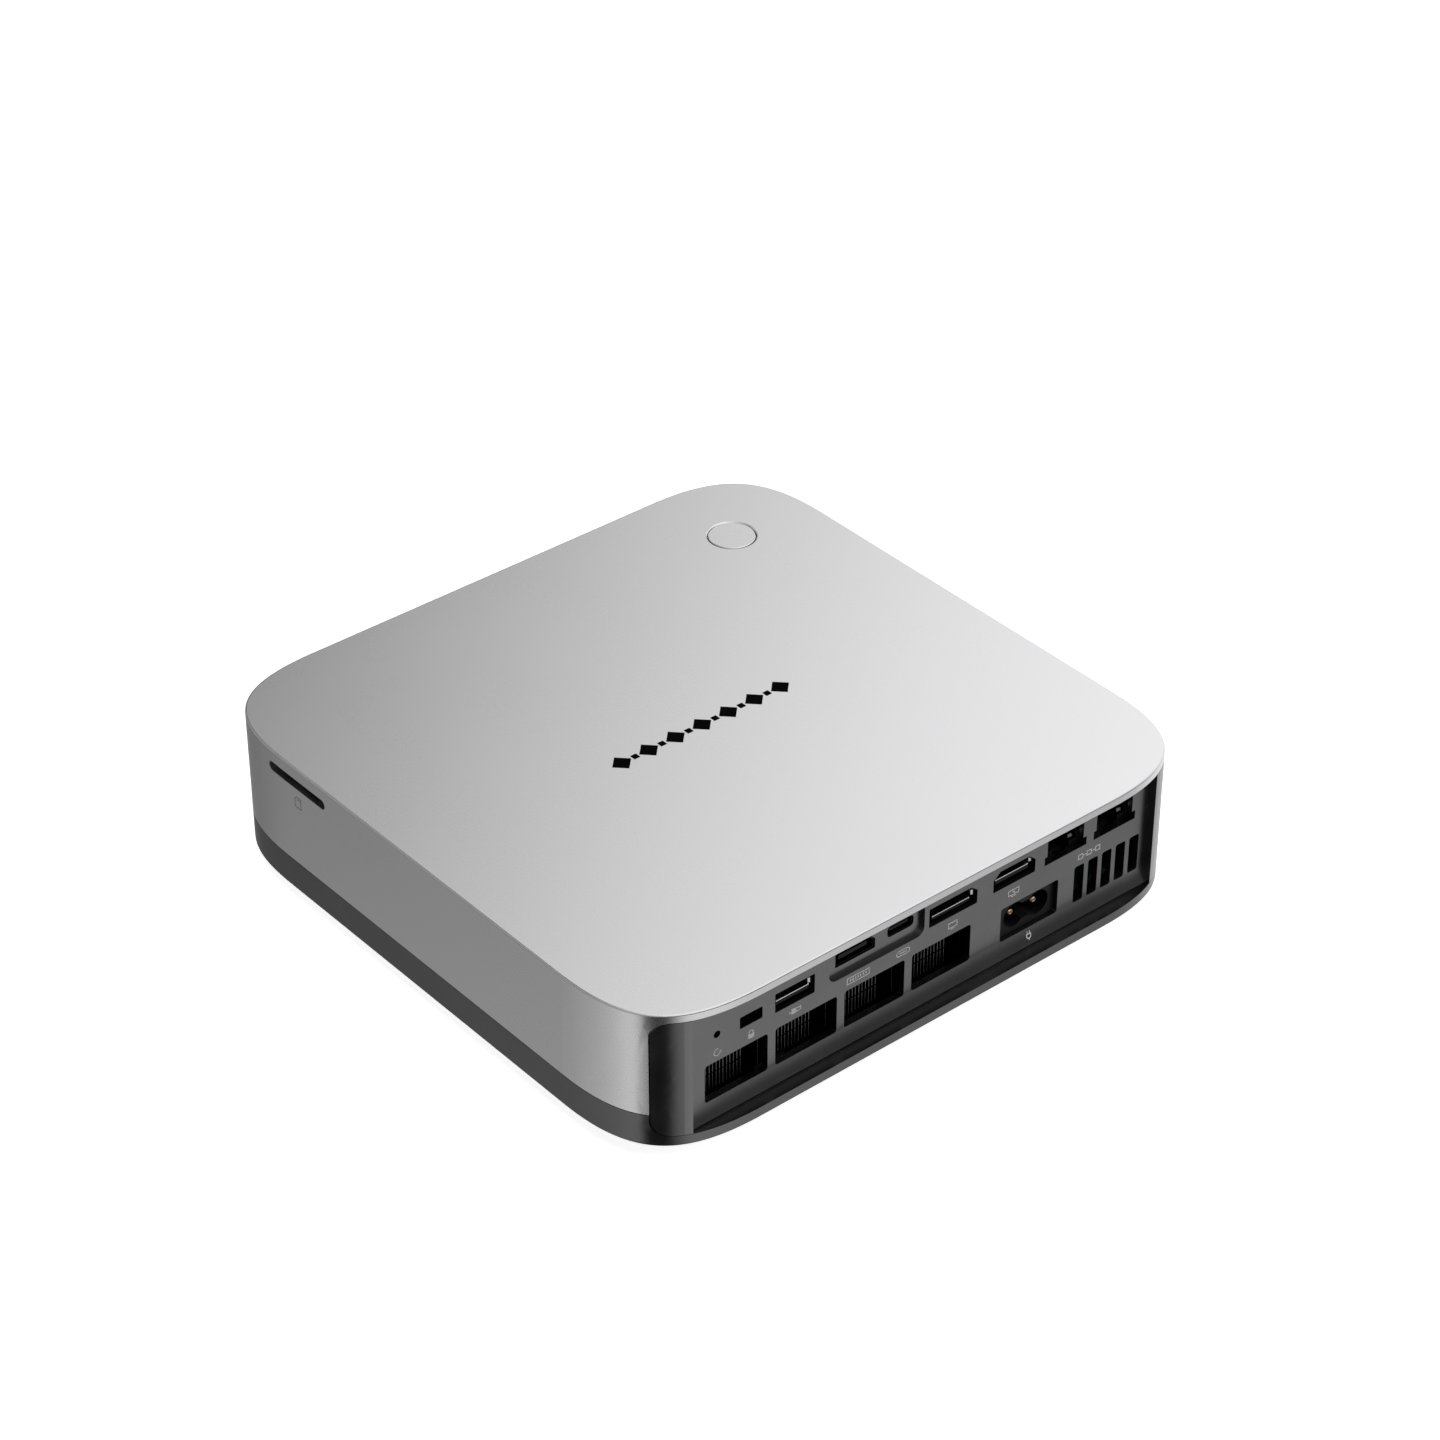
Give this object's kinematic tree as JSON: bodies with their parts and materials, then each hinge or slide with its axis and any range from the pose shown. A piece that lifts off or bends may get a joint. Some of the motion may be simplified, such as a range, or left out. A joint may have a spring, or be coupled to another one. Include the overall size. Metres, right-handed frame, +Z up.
{
  "type": "mini pc",
  "caption": "Flat rounded-square desktop computer: metal shell over a dark base on rubber feet, recessed rear port panel with vents, press buttons and spinning cooling fans.",
  "frame": {"origin": "middle of the plane that the four feet stand on", "axes": "+Z up, rear ports face +Y, front faces -Y, +X is the right side seen from the front (card slot side)"},
  "size_m": [0.195, 0.195, 0.0475],
  "materials": {
    "shell_aluminium": "fine bead-blasted, clear anodised",
    "button_metal": "satin anodised",
    "dark_case": "satin dark grey moulding",
    "cover_plate": "fine matt texture",
    "foot_rubber": "matt",
    "screw_steel": "black zinc",
    "socket_metal": "nickel plated sheet",
    "socket_plastic": "moulded",
    "pin_metal": "nickel plated brass",
    "board_laminate": "solder mask",
    "chip_plastic": "moulded",
    "copper": "bare copper",
    "fin_aluminium": "bare sheet",
    "fan_plastic": "moulded",
    "motor_metal": "plain",
    "battery_metal": "plain",
    "capacitor_sleeve": "shrink sleeve",
    "transformer_tape": "tape wrapped",
    "shield_film": "insulating film",
    "light_guide": "clear moulded"
  },
  "bodies": {
    "case": {"audio_jack": "socket_plastic", "base_case": "dark_case", "base_fan_frame": "fan_plastic", "blower_housing": "fan_plastic", "blower_lid": "motor_metal", "blower_motor": "motor_metal", "board_screws": "screw_steel", "bottom_cover": "cover_plate", "button_bracket": "motor_metal", "card_reader": "socket_metal", "card_screws": "screw_steel", "card_sockets": "socket_plastic", "case_screws": "screw_steel", "clock_battery": "battery_metal", "cold_plate": "copper", "cover_screws": "screw_steel", "displayport_insert": "socket_plastic", "displayport_shell": "socket_metal", "drives": "board_laminate", "expansion_insert": "socket_plastic", "expansion_shell": "socket_metal", "fin_stack": "fin_aluminium", "hdmi_insert": "socket_plastic", "hdmi_shell": "socket_metal", "heat_pipes": "copper", "lock_plate": "motor_metal", "mainboard": "board_laminate", "mains_inlet": "socket_plastic", "mains_pins": "pin_metal", "memory_modules": "board_laminate", "memory_sockets": "socket_plastic", "network_inserts": "socket_plastic", "network_shells": "socket_metal", "power_switch": "chip_plastic", "processor": "chip_plastic", "radio_antennas": "board_laminate", "radio_card": "board_laminate", "rear_panel": "dark_case", "reset_switch": "chip_plastic", "rubber_feet": "foot_rubber", "status_light": "light_guide", "supply_board": "board_laminate", "supply_capacitors": "capacitor_sleeve", "supply_heatsinks": "fin_aluminium", "supply_shield": "shield_film", "supply_transformer": "transformer_tape", "top_shell": "shell_aluminium", "usb_a_front_inserts": "socket_plastic", "usb_a_front_shells": "socket_metal", "usb_a_rear_insert": "socket_plastic", "usb_a_rear_shell": "socket_metal", "usb_c_front_insert": "socket_plastic", "usb_c_front_shell": "socket_metal", "usb_c_rear_insert": "socket_plastic", "usb_c_rear_shell": "socket_metal"},
    "power_button": {"power_button": "button_metal"},
    "reset_button": {"reset_button": "socket_plastic"},
    "blower_rotor": {"blower_impeller": "fan_plastic"},
    "base_fan_rotor": {"base_fan_impeller": "fan_plastic"}
  },
  "joints": [
    {"name": "power_button_press", "type": "slide", "parent": "case", "child": "power_button", "axis": [0, 0, -1], "range_m": [0, 0.0004], "stiffness_N_per_m": 4000},
    {"name": "reset_button_press", "type": "slide", "parent": "case", "child": "reset_button", "axis": [0, -1, 0], "range_m": [0, 0.0003], "stiffness_N_per_m": 3000},
    {"name": "blower_spin", "type": "hinge", "parent": "case", "child": "blower_rotor", "pos_m": [0.03, 0.026, 0.0185], "axis": [0, 0, 1], "continuous": true},
    {"name": "base_fan_spin", "type": "hinge", "parent": "case", "child": "base_fan_rotor", "pos_m": [-0.048, -0.044, 0.0134], "axis": [0, 0, 1], "continuous": true}
  ]
}
